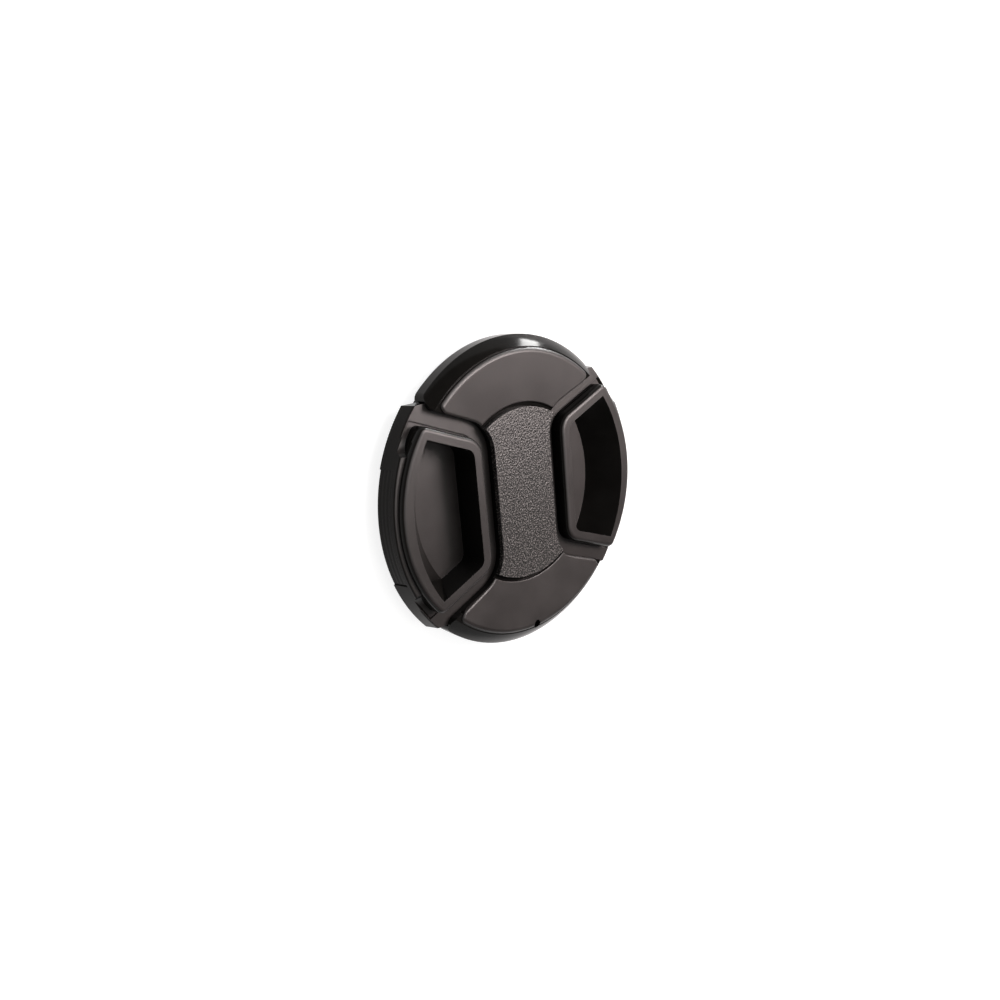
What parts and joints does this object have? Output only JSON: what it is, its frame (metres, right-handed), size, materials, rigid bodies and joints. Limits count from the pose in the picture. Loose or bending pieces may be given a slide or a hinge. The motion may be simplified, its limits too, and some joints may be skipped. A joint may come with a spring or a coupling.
{
  "type": "camera lens cap",
  "caption": "Round clip-in lens cap with a grained centre badge, raised crescents and sprung pinch tabs with finger pockets, whose ridged jaws hold a filter thread.",
  "frame": {"origin": "middle of the back, on the surface the cap lies on", "axes": "+Z out of the face along the lens axis, +X towards the right tab, +Y towards the crescent without the tether hole"},
  "size_m": [0.0616, 0.0594, 0.0084],
  "materials": {
    "cover_plastic": "satin crescents with a polished bevel",
    "badge_plastic": "fine leather-like grain",
    "back_plastic": "moulded satin",
    "tab_plastic": "satin with a polished rim",
    "spring_steel": "drawn wire"
  },
  "bodies": {
    "cap_body": {"front_cover": "cover_plastic", "centre_badge": "badge_plastic", "back_plate": "back_plastic", "left_upper_spring": "spring_steel", "left_lower_spring": "spring_steel", "right_upper_spring": "spring_steel", "right_lower_spring": "spring_steel"},
    "left_tab": {"left_tab": "tab_plastic"},
    "right_tab": {"right_tab": "tab_plastic"}
  },
  "joints": [
    {"name": "left_pinch", "type": "slide", "parent": "cap_body", "child": "left_tab", "axis": [1, 0, 0], "range_m": [0, 0.0026], "stiffness_N_per_m": 900, "springref_m": -0.0022, "deforming": ["left_upper_spring", "left_lower_spring"]},
    {"name": "right_pinch", "type": "slide", "parent": "cap_body", "child": "right_tab", "axis": [-1, 0, 0], "range_m": [0, 0.0026], "stiffness_N_per_m": 900, "springref_m": -0.0022, "deforming": ["right_upper_spring", "right_lower_spring"]}
  ]
}
